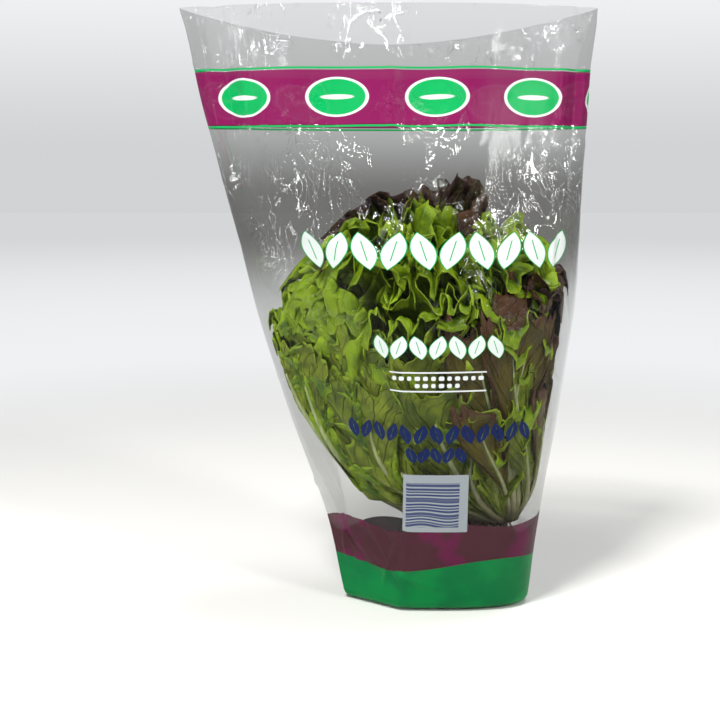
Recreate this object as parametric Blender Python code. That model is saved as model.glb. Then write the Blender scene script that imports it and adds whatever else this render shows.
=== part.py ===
"""Potted salad mix in its clear tapered sleeve, standing on its base.

Metres, +Z up. The origin is the middle of the footprint, and the printed side faces -Y.
The sleeve is an open bag of film, the root plug stands in its foot, and the salad is one heap
of leaves that rises from the plug and presses against the film.
"""

import math
import random

import bmesh
import bpy
import numpy as np

MM = 0.001

# The sleeve
SLEEVE_HEIGHT = 341 * MM
FILM_WALL = 0.6 * MM
RIM_DIP = 15 * MM  # how much lower the middle of the back rim hangs
FOOT_ROUND = 5 * MM  # where the sides turn under the base
# height; reach left, right, front and back of the centre line; squareness, where 2 is an
# ellipse, more is boxier and less comes to a point at the side folds
SLEEVE_SECTIONS = (
    (0 * MM, 54 * MM, 54 * MM, 24 * MM, 30 * MM, 2.6),
    (55 * MM, 66 * MM, 60 * MM, 40 * MM, 42 * MM, 2.4),
    (115 * MM, 87 * MM, 69 * MM, 52 * MM, 51 * MM, 2.2),
    (175 * MM, 105 * MM, 77 * MM, 57 * MM, 55 * MM, 2.1),
    (235 * MM, 120 * MM, 80 * MM, 45 * MM, 54 * MM, 2.0),
    (295 * MM, 135 * MM, 83 * MM, 30 * MM, 50 * MM, 1.8),
    (341 * MM, 146 * MM, 86 * MM, 26 * MM, 48 * MM, 1.7),
)
SIDES_ROUND, ROWS_UP = 48, 20
FLAT_BASE = (0.86, 0.80)  # the flat of the base as a share of the foot's width and depth

# The flat fold that cuts off the lower left corner, as a plane through three points
FOLD_TOP = (-90 * MM, -4 * MM, 131 * MM)
FOLD_FRONT = (-24 * MM, -33 * MM, 46 * MM)
FOLD_FOOT = (-54 * MM, 0 * MM, 0 * MM)
# Pleats beside the side folds: mouth x, lower end x, lower end height, half width, depth
PLEATS = (
    (-126 * MM, -102 * MM, 195 * MM, 9 * MM, 6 * MM),
    (76 * MM, 70 * MM, 215 * MM, 5 * MM, 4 * MM),
)

# The root plug in the foot of the sleeve
PLUG_CENTRE = (12 * MM, 2 * MM)
PLUG_RADIUS = (33 * MM, 20 * MM)
PLUG_BOTTOM, PLUG_TOP = 1.2 * MM, 50 * MM
PLUG_SQUARENESS = 3.0
PLUG_SIDES = 28

# The salad
STEM_GAP = 0.5 * MM  # between the plug and the stems
LEAF_THICKNESS = 1.6 * MM
LEAF_WRAP = 75 * MM  # radius to which a leaf bends round the bunch
FILM_GAP = 2.2 * MM  # from the film's outside to the middle of a leaf pressed on it
LEAF_RAYS, LEAF_RINGS = 18, 2  # cells round a leaf's margin, and from midrib to margin
HEAP_PEAK = (5 * MM, 12 * MM, 248 * MM)
HEAP_FALL = (7.3, 12.0, 10.0)  # how steeply the top falls away to the left, right, front and back
CORE_SIDES = 18
CORE_DEPTH = 22 * MM  # from the heap's top down to the core under the leaves
CORE_LEVEL = 170 * MM  # the sleeve's section here says how wide the core's top spreads
CORE_TO_FOLD = 9 * MM
SEED = 1
# ring: count, first azimuth and step in degrees, tip's share of the section, belly height,
# tip height, leaf width, arch (0 upright, 1 tip turned outwards), frill
LEAF_RINGS_SPEC = (
    ("skirt", 9, 4, 40, 1.12, 84 * MM, 158 * MM, 80 * MM, 0.12, 1.15),
    ("collar", 9, 26, 40, 1.04, 106 * MM, 210 * MM, 80 * MM, 0.6, 1.4),
    ("crown", 6, 0, 60, 0.52, 126 * MM, 254 * MM, 70 * MM, 0.5, 1.4),
)


def station(height):
    """The sleeve's left, right, front and back reach and squareness at a height, eased between sections."""
    heights = [s[0] for s in SLEEVE_SECTIONS]
    height = min(max(height, heights[0]), heights[-1])
    k = min(max(1, sum(h <= height for h in heights)), len(heights) - 1)
    below, above = SLEEVE_SECTIONS[k - 1], SLEEVE_SECTIONS[k]
    before = SLEEVE_SECTIONS[max(k - 2, 0)]
    after = SLEEVE_SECTIONS[min(k + 1, len(heights) - 1)]
    step = above[0] - below[0]
    t = (height - below[0]) / step
    found = []
    for i in range(1, 6):
        slope_below = (above[i] - before[i]) / (above[0] - before[0])
        slope_above = (after[i] - below[i]) / (after[0] - below[0])
        found.append(
            below[i] * (2 * t**3 - 3 * t**2 + 1)
            + above[i] * (3 * t**2 - 2 * t**3)
            + step * slope_below * (t**3 - 2 * t**2 + t)
            + step * slope_above * (t**3 - t**2)
        )
    return found


def fold_plane():
    """The lower left fold as slopes: y = a x + b z + c."""
    rows = [(x, z, 1) for x, _, z in (FOLD_TOP, FOLD_FRONT, FOLD_FOOT)]
    depths = [y for _, y, _ in (FOLD_TOP, FOLD_FRONT, FOLD_FOOT)]
    return np.linalg.solve(np.array(rows), np.array(depths))


FOLD = fold_plane()


def fold_depth(x, height):
    return FOLD[0] * x + FOLD[1] * height + FOLD[2]


def pleat_depth(x, height):
    """How far the pleats draw the film in at a place."""
    drawn = 0.0
    for mouth_x, end_x, end_height, half_width, depth in PLEATS:
        up = (height - end_height) / (SLEEVE_HEIGHT - end_height)
        if up > 0:
            middle = end_x + (mouth_x - end_x) * up
            drawn += depth * min(1.0, 2 * up) * max(0.0, 1 - abs(x - middle) / half_width)
    return drawn


def sleeve_point(turn, height):
    """A point of the sleeve's outside: turn is radians round from the right-hand fold, height in metres."""
    left, right, front, back, squareness = station(height)
    half_width = (left + right) / 2
    reach = back if math.sin(turn) > 0 else front
    power = 2 / squareness
    drop = max(0.0, FOOT_ROUND - height)
    under = FOOT_ROUND - math.sqrt(FOOT_ROUND**2 - drop**2)
    across = math.copysign(abs(math.cos(turn)) ** power, math.cos(turn))
    along = math.copysign(abs(math.sin(turn)) ** power, math.sin(turn))
    x = (right - left) / 2 + across * (half_width - under)
    y = along * (reach - under)
    if along < 0:
        y = min(max(y, fold_depth(x, height) + under) + pleat_depth(x, height), 0.0)
    return x, y, height


def rim_height(turn):
    return SLEEVE_HEIGHT - RIM_DIP * max(0.0, math.sin(turn)) ** 2


def new_object(name, bm, colour, roughness, smooth_below=40):
    """A named object with one material, shaded smooth below an angle."""
    mesh = bpy.data.meshes.new(name)
    bm.to_mesh(mesh)
    bm.free()
    mesh.shade_smooth()
    mesh.set_sharp_from_angle(angle=math.radians(smooth_below))
    obj = bpy.data.objects.new(name, mesh)
    bpy.context.scene.collection.objects.link(obj)
    obj.data.materials.append(paint(name, colour, roughness))
    return obj


def paint(name, colour, roughness):
    material = bpy.data.materials.new(name)
    material.use_nodes = True
    shader = material.node_tree.nodes["Principled BSDF"]
    shader.inputs["Base Color"].default_value = (*colour, 1)
    shader.inputs["Roughness"].default_value = roughness
    shader.inputs["Metallic"].default_value = 0
    return material


def closed_ring(bm, points):
    """A ring of edges through these points."""
    ring = bmesh.ops.create_circle(bm, cap_ends=False, radius=1, segments=len(points))
    for vertex, point in zip(ring["verts"], points):
        vertex.co = point
    return list({edge for vertex in ring["verts"] for edge in vertex.link_edges})


def loft(rings, cap_bottom, cap_top):
    """A skin over rings of points, listed from the bottom up."""
    bm = bmesh.new()
    loops = [closed_ring(bm, points) for points in rings]
    for lower, upper in zip(loops, loops[1:]):
        bmesh.ops.bridge_loops(bm, edges=lower + upper)
    for wanted, loop in ((cap_bottom, loops[0]), (cap_top, loops[-1])):
        if wanted:
            bmesh.ops.contextual_create(bm, geom=loop)
    bmesh.ops.triangulate(bm, faces=bm.faces[:])
    bmesh.ops.recalc_face_normals(bm, faces=bm.faces[:])
    return bm


def build_sleeve():
    """The film bag: lofted from foot to rim, open at the mouth, its wall made inwards."""
    turns = [2 * math.pi * k / SIDES_ROUND for k in range(SIDES_ROUND)]
    foot = [sleeve_point(t, 0.0) for t in turns]
    rings = [[(FLAT_BASE[0] * x, FLAT_BASE[1] * y, 0.0) for x, y, _ in foot], foot]
    rings.append([sleeve_point(t, 0.4 * FOOT_ROUND) for t in turns])
    for row in range(ROWS_UP + 1):
        up = row / ROWS_UP
        rings.append([sleeve_point(t, FOOT_ROUND + (rim_height(t) - FOOT_ROUND) * up) for t in turns])
    sleeve = new_object("sleeve", loft(rings, True, False), (0.82, 0.84, 0.83), 0.15)
    wall = sleeve.modifiers.new("wall", "SOLIDIFY")
    wall.thickness = FILM_WALL
    wall.offset = -1
    return sleeve


def build_root_plug():
    """A squat plug of peat and roots with a softly rounded top and bottom edge."""
    power = 2 / PLUG_SQUARENESS
    profile = ((0.0, 0.86), (0.06, 0.95), (0.2, 0.98), (0.75, 1.0), (0.93, 0.94), (1.0, 0.80))
    rings = []
    for share, reach in profile:
        height = PLUG_BOTTOM + (PLUG_TOP - PLUG_BOTTOM) * share
        ring = []
        for k in range(PLUG_SIDES):
            turn = 2 * math.pi * k / PLUG_SIDES
            lump = reach * (1 + 0.03 * math.sin(5 * turn + 9 * share))
            across = math.copysign(abs(math.cos(turn)) ** power, math.cos(turn))
            along = math.copysign(abs(math.sin(turn)) ** power, math.sin(turn))
            x = PLUG_CENTRE[0] + PLUG_RADIUS[0] * lump * across
            y = PLUG_CENTRE[1] + PLUG_RADIUS[1] * lump * along
            ring.append((x, y, height))
        rings.append(ring)
    return new_object("root_plug", loft(rings, True, True), (0.30, 0.24, 0.20), 0.95)


def ease(value, low, high):
    """0 below low, 1 above high, and a smooth rise between."""
    t = np.clip((value - low) / (high - low), 0, 1)
    return t * t * (3 - 2 * t)


def bezier(points, t):
    """Places on a cubic curve through its four control points, and its unit directions."""
    a, b, c, d = (np.array(p, float) for p in points)
    t = t[..., None]
    place = a * (1 - t) ** 3 + 3 * b * t * (1 - t) ** 2 + 3 * c * t**2 * (1 - t) + d * t**3
    speed = 3 * (b - a) * (1 - t) ** 2 + 6 * (c - b) * t * (1 - t) + 3 * (d - c) * t**2
    return place, speed / np.linalg.norm(speed, axis=-1, keepdims=True)


def section_place(azimuth, share, height):
    """A place inside the sleeve, at a share of the way out to the film."""
    left, right, front, back, _ = station(height)
    y = math.sin(azimuth) * (back if math.sin(azimuth) > 0 else front)
    return np.array([(right - left) / 2 + share * math.cos(azimuth) * (left + right) / 2, share * y, height])


def heap_top(x, y):
    """How high the salad reaches at a place."""
    fall_left, fall_right, fall_deep = HEAP_FALL
    sideways, deep = x - HEAP_PEAK[0], y - HEAP_PEAK[1]
    return HEAP_PEAK[2] - (fall_left if sideways < 0 else fall_right) * sideways**2 - fall_deep * deep**2


def kept_inside(points, share):
    """Points eased back inside the sleeve, to this share of its section, and under the heap's top."""
    inside = points.copy()
    lowest = PLUG_TOP + STEM_GAP + 0.2 * MM
    for p in inside:
        top = heap_top(p[0], p[1])
        if p[2] > top - 10 * MM:
            p[2] = top - 10 * MM * math.exp(-(p[2] - top + 10 * MM) / (10 * MM))
        p[2] = max(p[2], lowest)
        left, right, front, back, squareness = station(p[2])
        middle, half_width = (right - left) / 2, (left + right) / 2 - FILM_GAP
        reach = (back if p[1] > 0 else front) - FILM_GAP
        ratio = (abs((p[0] - middle) / half_width) ** squareness + abs(p[1] / reach) ** squareness) ** (
            1 / squareness
        )
        soft = share - 0.06
        if ratio > soft:
            eased = share - (share - soft) * math.exp(-(ratio - soft) / (share - soft))
            p[0] = middle + (p[0] - middle) * eased / ratio
            p[1] *= eased / ratio
        p[1] = max(p[1], fold_depth(p[0], p[2]) + (1 - share) * reach + 2 * FILM_GAP)
    return inside


def leaf_blade(length, width, waves, frill, rng, rays, rings):
    """A leaf laid flat: across, along and off its plane for each ray and ring of its grid.

    Rays fan from the midrib to the margin like side veins, and the rings between them follow the
    margin. The further out a ring lies, the more its spare length buckles into frills.
    """
    ray = np.linspace(-1, 1, rays + 1)[None, :]
    ring = np.linspace(0, 1, rings + 1)[:, None]
    turn = np.abs(ray)
    rib = length * (0.04 + 0.62 * (1 - turn))
    margin_along = length * (1 - turn**2.2) ** 0.8
    margin_across = np.sign(ray) * (width / 2) * np.sin(np.pi * turn**0.8) ** 0.8 + ray * 0.06 * width
    across = margin_across * ring
    along = rib + (margin_along - rib) * ring
    step = np.hypot(np.diff(across, axis=1), np.diff(along, axis=1))
    start = np.zeros((rings + 1, 1))
    run = np.concatenate([start, np.cumsum(step, axis=1)], axis=1)
    phase = 2 * np.pi * waves * run[-1:] / run[-1, -1] + rng.uniform(0, 6.28)
    phase = phase + 0.8 * np.sin(2.3 * np.pi * ray + rng.uniform(0, 6.28))
    lean = frill * ease(ring, 0.1, 0.9) * (1 - ease(turn, 0.75, 1.0)) * np.sin(phase)
    forward = np.concatenate([start, np.cumsum(np.cos(lean)[:, 1:] * step, axis=1)], axis=1)
    height = np.concatenate([start, np.cumsum(np.sin(lean)[:, 1:] * step, axis=1)], axis=1)
    stretch = run[:, -1:] / forward[:, -1:]
    height = (height - height[:, -1:] * (ray + 1) / 2) * stretch
    for row in range(rings + 1):
        gone = forward[row] * stretch[row]
        across[row] = np.interp(gone, run[row], across[row])
        along[row] = np.interp(gone, run[row], along[row])
    return across, along, height * ring


def place_leaf(blade, length, rib_points, outward, wrap):
    """Bends a flat leaf along its midrib curve and round the bunch."""
    across, along, off = (part.ravel() for part in blade)
    t = np.clip(along / length, 0, 1.1)
    place, direction = bezier(rib_points, t)
    side = np.cross([0, 0, 1.0], outward)
    side = side / np.linalg.norm(side)
    inward = np.cross(direction, np.broadcast_to(side, direction.shape))
    inward = inward / np.linalg.norm(inward, axis=1, keepdims=True)
    bend = across / wrap
    sideways = (np.sin(bend) * wrap)[:, None] * side
    rounding = ((1 - np.cos(bend)) * wrap)[:, None] * inward
    across_face = inward * np.cos(bend)[:, None] - side * np.sin(bend)[:, None]
    return place + sideways + rounding + off[:, None] * across_face


def leaf_sheet(azimuth, share, belly_height, tip_height, width, arch, frill, layer, rng):
    """One leaf as a wavy sheet of triangles; a higher layer lies further in from the film."""
    tip = section_place(azimuth, share, tip_height)
    tip[2] = min(tip[2], heap_top(tip[0], tip[1]) + 8 * MM)
    outward = np.array([math.cos(azimuth), math.sin(azimuth), 0.0])
    root = np.array([PLUG_CENTRE[0], PLUG_CENTRE[1], PLUG_TOP + 4 * MM]) + outward * (24 * MM, 14 * MM, 0)
    belly = section_place(azimuth, share, belly_height)
    rise = tip[2] - root[2]
    turned = np.array([0, 0, 1.0]) * (1 - arch) + outward * arch
    turned = turned / np.linalg.norm(turned)
    rib_points = (root, root + (belly - root) * 1.2, tip - turned * 0.35 * rise, tip)
    length = 1.05 * np.linalg.norm(tip - root)
    blade = leaf_blade(length, width, LEAF_RAYS / 3.6, frill, rng, LEAF_RAYS, LEAF_RINGS)
    inside_share = 0.995 - 0.035 * layer - rng.uniform(0, 0.012)
    points = kept_inside(place_leaf(blade, length, rib_points, outward, LEAF_WRAP), inside_share)
    bm = bmesh.new()
    bmesh.ops.create_grid(bm, x_segments=LEAF_RAYS, y_segments=LEAF_RINGS, size=1)
    for vertex in bm.verts:
        column = round((vertex.co.x + 1) / 2 * LEAF_RAYS)
        row = round((vertex.co.y + 1) / 2 * LEAF_RINGS)
        vertex.co = points[row * (LEAF_RAYS + 1) + column]
    bmesh.ops.remove_doubles(bm, verts=bm.verts[:], dist=0.1 * MM)
    bmesh.ops.triangulate(bm, faces=bm.faces[:])
    bmesh.ops.recalc_face_normals(bm, faces=bm.faces[:])
    return bm


def core_rings():
    """The heart of the heap: narrow stems at the plug, widening with the sleeve, closed at the top."""
    shares = ((0.0, 0.46), (0.08, 0.60), (0.3, 0.72), (0.6, 0.76), (0.85, 0.62), (1.0, 0.3))
    rings = []
    for up, share in shares:
        ring = []
        for k in range(CORE_SIDES):
            turn = 2 * math.pi * k / CORE_SIDES
            height = PLUG_TOP + STEM_GAP
            side = section_place(turn, share, CORE_LEVEL)
            height += up * (heap_top(side[0], side[1]) - CORE_DEPTH - height)
            place = section_place(turn, share * (1 + 0.06 * math.sin(4 * turn + 7 * up)), height)
            place += np.array([PLUG_CENTRE[0], PLUG_CENTRE[1], 0.0]) * (1 - up) ** 3
            place[1] = max(place[1], fold_depth(place[0], height) + CORE_TO_FOLD)
            ring.append(tuple(place))
        rings.append(ring)
    return rings


def salad_leaves():
    """Every leaf of the heap, ring by ring, as open sheets."""
    rng = random.Random(SEED)
    for _, count, first, step, share, belly, tip_height, width, arch, frill in LEAF_RINGS_SPEC:
        for k in range(count):
            azimuth = math.radians(first + step * k + rng.uniform(-8, 8))
            tip_at = tip_height + rng.uniform(-16, 12) * MM
            leaf_width = width * rng.uniform(0.9, 1.1)
            yield leaf_sheet(azimuth, share, belly, tip_at, leaf_width, arch, frill, k % 2, rng)


def build_salad():
    """The core with every leaf fused on, as one solid."""
    salad = new_object("salad", loft(core_rings(), True, True), (0.22, 0.34, 0.06), 0.45)
    leaves = bpy.data.collections.new("leaves")
    bpy.context.scene.collection.children.link(leaves)
    for k, bm in enumerate(salad_leaves()):
        mesh = bpy.data.meshes.new(f"leaf_{k}")
        bm.to_mesh(mesh)
        bm.free()
        leaf = bpy.data.objects.new(f"leaf_{k}", mesh)
        leaves.objects.link(leaf)
        blade = leaf.modifiers.new("blade", "SOLIDIFY")
        blade.thickness = LEAF_THICKNESS
        blade.offset = 0
    fuse(salad, leaves)
    return salad


def apply_modifiers(obj):
    graph = bpy.context.evaluated_depsgraph_get()
    obj.data = bpy.data.meshes.new_from_object(obj.evaluated_get(graph))
    obj.modifiers.clear()


def fuse(body, others):
    """Joins a collection of solids to the body, keeps the one outer skin and thins its triangles."""
    join = body.modifiers.new("join", "BOOLEAN")
    join.operation = "UNION"
    join.operand_type = "COLLECTION"
    join.collection = others
    join.solver = "MANIFOLD"
    apply_modifiers(body)
    for obj in list(others.objects):
        bpy.data.objects.remove(obj)
    bpy.data.collections.remove(others)
    bm = bmesh.new()
    bm.from_mesh(body.data)
    split_faces(bm)
    keep_outer_skin(bm)
    bm.to_mesh(body.data)
    bm.free()
    thin = body.modifiers.new("thin", "DECIMATE")
    thin.ratio = 0.5
    apply_modifiers(body)


def split_faces(bm):
    """Splits every face into triangles, from its middle where two faces would share a diagonal."""
    bm.verts.index_update()
    trial = bm.copy()
    bmesh.ops.triangulate(trial, faces=trial.faces[:], ngon_method="EAR_CLIP")
    shared = [{v.index for v in edge.verts} for edge in trial.edges if len(edge.link_faces) > 2]
    trial.free()
    clashing = {face for face in bm.faces if any(ends <= {v.index for v in face.verts} for ends in shared)}
    bmesh.ops.poke(bm, faces=list(clashing), center_mode="MEAN_WEIGHTED")
    bmesh.ops.triangulate(bm, faces=bm.faces[:], ngon_method="EAR_CLIP")


def keep_outer_skin(bm):
    """Drops loose scraps and the skins of sealed hollows: the largest shell stays."""
    left = set(bm.faces)
    shells = []
    while left:
        front = [left.pop()]
        shell = set(front)
        while front:
            face = front.pop()
            for edge in face.edges:
                for near in edge.link_faces:
                    if near in left:
                        left.remove(near)
                        shell.add(near)
                        front.append(near)
        shells.append(shell)
    shells.sort(key=len)
    scraps = [face for shell in shells[:-1] for face in shell]
    bmesh.ops.delete(bm, geom=scraps, context="FACES")


def main():
    for obj in list(bpy.data.objects):
        bpy.data.objects.remove(obj)
    build_sleeve()
    build_root_plug()
    build_salad()


main()
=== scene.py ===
"""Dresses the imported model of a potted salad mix.

The film bag stands round leaves that grow from a root plug. Metres throughout, in the part's frame.
"""

import math
import random
from dataclasses import dataclass

import bmesh
import bpy
import numpy as np
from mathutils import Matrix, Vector


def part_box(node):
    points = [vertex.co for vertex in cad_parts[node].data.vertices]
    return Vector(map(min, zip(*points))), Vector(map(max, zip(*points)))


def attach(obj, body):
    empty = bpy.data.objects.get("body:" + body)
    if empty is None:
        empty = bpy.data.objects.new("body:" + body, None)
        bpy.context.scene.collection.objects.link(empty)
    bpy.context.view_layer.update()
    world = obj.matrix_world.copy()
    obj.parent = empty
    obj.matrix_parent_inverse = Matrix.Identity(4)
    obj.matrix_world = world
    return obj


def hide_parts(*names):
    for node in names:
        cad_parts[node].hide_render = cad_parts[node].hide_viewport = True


bl_info = {
    "name": "Potted salad mix",
    "version": (1, 0, 0),
    "blender": (4, 5, 0),
    "location": "View3D > Sidebar > Salad",
    "description": "Builds a potted salad in its clear printed sleeve",
    "category": "Add Mesh",
}

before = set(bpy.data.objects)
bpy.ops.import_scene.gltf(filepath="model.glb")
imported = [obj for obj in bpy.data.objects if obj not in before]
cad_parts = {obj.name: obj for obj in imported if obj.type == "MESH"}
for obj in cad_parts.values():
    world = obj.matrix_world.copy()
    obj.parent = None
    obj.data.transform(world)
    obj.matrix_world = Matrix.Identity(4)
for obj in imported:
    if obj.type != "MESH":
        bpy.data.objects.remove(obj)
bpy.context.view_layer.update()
MM = 0.001
BODY = "root"
FULL_TURN = 6.28  # radians, the range of a random phase

# The sleeve's surface: height; reach left, right, front and back; squareness, where 2 is an ellipse
SECTIONS = np.array(
    (
        (0, 54, 54, 24, 30, 2.6),
        (55, 66, 60, 40, 42, 2.4),
        (115, 87, 69, 52, 51, 2.2),
        (175, 105, 77, 57, 55, 2.1),
        (235, 120, 80, 45, 54, 2.0),
        (295, 135, 83, 30, 50, 1.8),
        (341, 146, 86, 26, 48, 1.7),
    )
) * (MM, MM, MM, MM, MM, 1)
HEIGHT = 341 * MM
RIM_DIP = 15 * MM  # how much lower the middle of the back rim hangs
FOOT_ROUND = 5 * MM
# The flat fold that cuts off the lower left corner, as three points in millimetres
FOLD_POINTS = ((-90, -4, 131), (-24, -33, 46), (-54, 0, 0))
# Pleats beside the side folds, in millimetres: mouth x, lower end x and height, half width, depth
PLEATS = ((-126, -102, 195, 9, 6), (76, 70, 215, 5, 4))

# The film as a sheet
FILM_COLUMNS, FILM_ROWS = 290, 224
BASE_ROWS = 6  # of the film's rows, the ones under the base
PRINT_MIDDLE = -4 * MM
CREASE_COUNT = 150

# The root plug
PLUG = [Vector(corner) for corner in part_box("root_plug")]
PLUG_MIDDLE, PLUG_HALF = (PLUG[0] + PLUG[1]) / 2, (PLUG[1] - PLUG[0]) / 2
PLUG_CENTRE = (12 * MM, 2 * MM)
PLUG_TOP = 50 * MM
ROOT_COUNT, ROOT_POINTS = 150, 11

# The salad
HEAP_PEAK = (5 * MM, 12 * MM, 250 * MM)
HEAP_FALL = (7.3, 12.0, 10.0)  # how fast the top falls away to the left, right, and front and back
FILM_GAP = 1.7 * MM  # from the film to a leaf pressed on it
# The leaves gather along the crease that runs from the left side down to the foot
CREASE_TOP = (-101 * MM, 140 * MM)
CREASE_SLOPE = 0.78
LEAF_RAYS, LEAF_RINGS = 132, 12  # cells round a leaf's margin, and from midrib to margin
LEAF_THICKNESS = 0.35 * MM
LEAF_WRAP = 70 * MM  # radius to which a leaf bends round the bunch
RIGHT_ROOT = (35 * MM, -6 * MM, PLUG_TOP + 1 * MM)  # where the right-hand leaves start
STEM_POINTS = 22
STEMMED_RED = 15  # the red leaves with a stem that shows, which are those of the first three whorls

CAMERA_ASIDE, CAMERA_DIP, CAMERA_LENS = -45.5 * MM, math.radians(9.05), 61.1


# ---- the sleeve's surface


def station(height):
    """Reach left, right, front and back and squareness at each height, eased between sections."""
    levels = SECTIONS[:, 0]
    height = np.clip(height, levels[0], levels[-1])
    k = np.clip(np.searchsorted(levels, height, side="right"), 1, len(levels) - 1)
    below, above = SECTIONS[k - 1], SECTIONS[k]
    before, after = SECTIONS[np.maximum(k - 2, 0)], SECTIONS[np.minimum(k + 1, len(levels) - 1)]
    step = above[..., :1] - below[..., :1]
    t = (height[..., None] - below[..., :1]) / step
    slope_below = (above - before) / (above[..., :1] - before[..., :1])
    slope_above = (after - below) / (after[..., :1] - below[..., :1])
    eased = below * (2 * t**3 - 3 * t**2 + 1) + above * (3 * t**2 - 2 * t**3)
    eased += step * (slope_below * (t**3 - 2 * t**2 + t) + slope_above * (t**3 - t**2))
    return tuple(eased[..., i] for i in range(1, 6))


FOLD = np.linalg.solve(
    np.array([(x * MM, z * MM, 1) for x, _, z in FOLD_POINTS]),
    np.array([y * MM for _, y, _ in FOLD_POINTS]),
)


def fold_depth(x, height):
    """Where the flat lower left fold lies."""
    return FOLD[0] * x + FOLD[1] * height + FOLD[2]


def pleat_depth(x, height):
    """How far the pleats beside the side folds draw the film in."""
    drawn = np.zeros_like(x)
    for mouth_x, end_x, end_height, half_width, depth in PLEATS:
        up = (height - end_height * MM) / (HEIGHT - end_height * MM)
        middle = end_x * MM + (mouth_x - end_x) * MM * up
        tent = np.maximum(0, 1 - np.abs(x - middle) / (half_width * MM))
        drawn += depth * MM * np.clip(2 * up, 0, 1) * tent
    return drawn


def signed_power(value, power):
    return np.sign(value) * np.abs(value) ** power


def sleeve_points(turn, height):
    """The film's place for each turn, in radians round from the right-hand fold, and height."""
    left, right, front, back, squareness = station(height)
    reach = np.where(np.sin(turn) > 0, back, front)
    drop = np.maximum(0, FOOT_ROUND - height)
    under = FOOT_ROUND - np.sqrt(FOOT_ROUND**2 - np.minimum(drop, FOOT_ROUND) ** 2)
    across = signed_power(np.cos(turn), 2 / squareness)
    along = signed_power(np.sin(turn), 2 / squareness)
    x = (right - left) / 2 + across * ((left + right) / 2 - under)
    y = along * (reach - under)
    pressed = np.minimum(np.maximum(y, fold_depth(x, height) + under) + pleat_depth(x, height), 0)
    return np.stack([x, np.where(along < 0, pressed, y), height + 0 * x], axis=-1)


def rim_height(turn):
    return HEIGHT - RIM_DIP * np.maximum(0, np.sin(turn)) ** 2


def ease(value, low, high):
    """0 below low, 1 above high, and a smooth rise between."""
    t = np.clip((value - low) / (high - low), 0, 1)
    return t * t * (3 - 2 * t)


def unit(vectors):
    return vectors / np.linalg.norm(vectors, axis=-1, keepdims=True)


def running_sum(steps):
    """The sums along each row, from 0."""
    return np.concatenate([np.zeros((len(steps), 1)), np.cumsum(steps, axis=1)], axis=1)


# ---- shader nodes


def math_node(operation):
    """A method of a signal that adds a Math node."""

    def add_node(self, *others):
        sockets = dict(enumerate((self, *others)))
        return self.paint.node("ShaderNodeMath", {"operation": operation}, sockets)

    return add_node


class Signal:
    """A shader value that Python's arithmetic works on, adding a Math node each time."""

    def __init__(self, paint, socket):
        self.paint, self.socket = paint, socket

    __add__ = __radd__ = math_node("ADD")
    __sub__ = math_node("SUBTRACT")
    __mul__ = __rmul__ = math_node("MULTIPLY")
    __truediv__ = math_node("DIVIDE")
    __abs__ = math_node("ABSOLUTE")
    power = math_node("POWER")
    least = math_node("MINIMUM")
    most = math_node("MAXIMUM")
    fraction = math_node("FRACT")
    floor = math_node("FLOOR")
    sine = math_node("SINE")

    def __rsub__(self, other):
        return (self * -1) + other

    def ramp(self, low, high, out_low=0.0, out_high=1.0):
        settings = {"interpolation_type": "SMOOTHSTEP"}
        inputs = {0: self, 1: low, 2: high, 3: out_low, 4: out_high}
        return self.paint.node("ShaderNodeMapRange", settings, inputs)

    def below(self, edge, soft):
        """1 where the value is under the edge, 0 above, over a soft step."""
        return self.ramp(edge - soft, edge + soft, 1, 0)


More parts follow.
